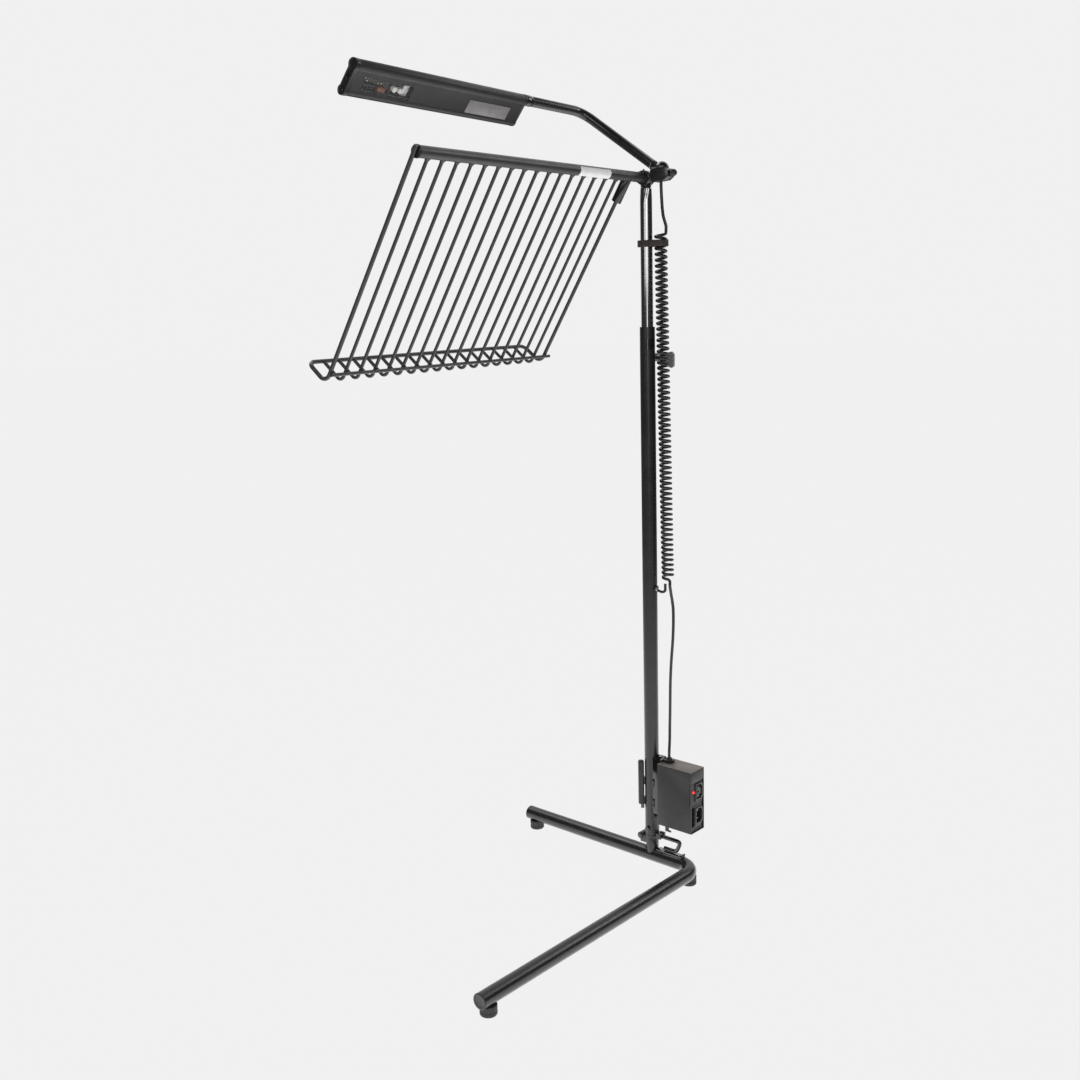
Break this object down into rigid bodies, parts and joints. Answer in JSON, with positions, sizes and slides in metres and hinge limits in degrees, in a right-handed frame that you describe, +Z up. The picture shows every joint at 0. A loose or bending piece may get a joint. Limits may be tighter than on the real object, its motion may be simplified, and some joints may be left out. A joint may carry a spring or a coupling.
{
  "type": "folding music stand with lamp",
  "caption": "Folding music stand on an L-shaped tube base, with a wire desk held at one end, a lamp bar on a bent arm, a curly cord and a power box on the telescopic mast.",
  "frame": {"origin": "centre of the corner foot's underside, on the floor", "axes": "+Z up; +X along the front leg and under the desk; -Y along the back leg, towards the musician"},
  "size_m": [0.605, 0.403, 1.315],
  "materials": {
    "grey_coat": "satin powder coat, dark grey",
    "plated_tube": "polished plating",
    "black_plastic": "fine matt",
    "black_gloss": "smooth",
    "rubber": "matt",
    "zinc": "zinc plated",
    "light_grey": "satin",
    "strap": "matt",
    "cord": "satin sheath",
    "label_white": "paper label, bare",
    "plate_silver": "satin label plate, bare",
    "clear": "clear window",
    "diffuser": "frosted",
    "led_board": "white board",
    "circuit_board": "green board",
    "coils": "varnished",
    "red_lens": "clear red"
  },
  "bodies": {
    "base": {"base_tube": "grey_coat", "base_end_plugs": "black_plastic", "rubber_feet": "rubber", "foot_studs": "zinc", "hinge_post": "grey_coat", "keeper_strip": "grey_coat", "hinge_pin": "zinc"},
    "lower_mast": {"lower_tube": "grey_coat", "mast_shoe": "grey_coat", "shoe_bolt": "black_gloss", "guide_collar": "black_plastic", "clamp_boss": "black_plastic", "tube_sticker": "black_gloss", "hook_rivet": "zinc", "cable_hook": "black_plastic", "box_shell": "grey_coat", "box_cover": "grey_coat", "box_end_panel": "grey_coat", "mounting_block": "black_plastic", "tube_clamp": "black_plastic", "box_screws": "zinc", "mains_inlet": "black_plastic", "inlet_pins": "zinc", "mains_outlet": "black_plastic", "indicator_lens": "red_lens", "box_gland": "black_plastic", "supply_board": "circuit_board", "transformer": "coils", "box_lead": "cord"},
    "release_lever": {"release_lever": "black_gloss"},
    "clamp_lever": {"clamp_lever": "light_grey"},
    "upper_mast": {"upper_tube": "plated_tube", "glide_plug": "black_plastic", "mast_neck": "plated_tube", "cord_strap": "strap", "curly_cord": "cord"},
    "head": {"tilt_sleeve": "black_plastic", "head_block": "grey_coat", "head_bolt": "black_gloss", "arm_pivot_screw": "black_gloss", "head_lead": "cord"},
    "desk": {"desk_tube": "grey_coat", "desk_end_cap": "black_plastic", "desk_frame": "grey_coat", "desk_wires": "grey_coat", "cross_rod": "grey_coat", "desk_stub": "black_plastic", "desk_label": "label_white", "cable_tie": "black_plastic"},
    "arm": {"arm_tube": "grey_coat", "arm_collar": "black_plastic"},
    "lamp": {"lamp_housing": "grey_coat", "lamp_end_caps": "black_plastic", "lamp_window": "clear", "lamp_plate": "plate_silver", "light_strip": "led_board", "diffuser": "diffuser", "driver_board": "circuit_board", "driver_parts": "coils"},
    "switch": {"switch_button": "black_plastic"}
  },
  "joints": [
    {"name": "mast_fold", "type": "hinge", "parent": "base", "child": "lower_mast", "pos_m": [-0.01, -0.104, 0.06], "axis": [1, 0, 0], "range_deg": [0, 90]},
    {"name": "release_lift", "type": "hinge", "parent": "lower_mast", "child": "release_lever", "pos_m": [-0.01, -0.0673, 0.0655], "axis": [1, 0, 0], "range_deg": [0, 30]},
    {"name": "clamp_turn", "type": "hinge", "parent": "lower_mast", "child": "clamp_lever", "pos_m": [-0.04, -0.085, 0.9], "axis": [1, 0, 0], "range_deg": [-30, 90]},
    {"name": "mast_slide", "type": "slide", "parent": "lower_mast", "child": "upper_mast", "axis": [0, 0, 1], "range_m": [-0.1, 0.22], "deforming": ["curly_cord"]},
    {"name": "head_swivel", "type": "hinge", "parent": "upper_mast", "child": "head", "pos_m": [-0.01, -0.085, 1.17], "axis": [0, 0, 1], "range_deg": [-60, 60]},
    {"name": "desk_tilt", "type": "hinge", "parent": "head", "child": "desk", "pos_m": [-0.01, -0.085, 1.185], "axis": [0.9952, 0.0976, 0], "range_deg": [-58, 31]},
    {"name": "arm_swing", "type": "hinge", "parent": "head", "child": "arm", "pos_m": [-0.01293, -0.05511, 1.19747], "axis": [0.0085, -0.0867, 0.9962], "range_deg": [-90, 90]},
    {"name": "lamp_turn", "type": "hinge", "parent": "arm", "child": "lamp", "pos_m": [0.16102, -0.18981, 1.30081], "axis": [0.9951, 0.0976, 0.0157], "range_deg": [-90, 90]},
    {"name": "switch_push", "type": "slide", "parent": "lamp", "child": "switch", "axis": [-0.9951, -0.0976, -0.0157], "range_m": [0, 0.0012], "stiffness_N_per_m": 600, "springref_m": -0.0005}
  ]
}
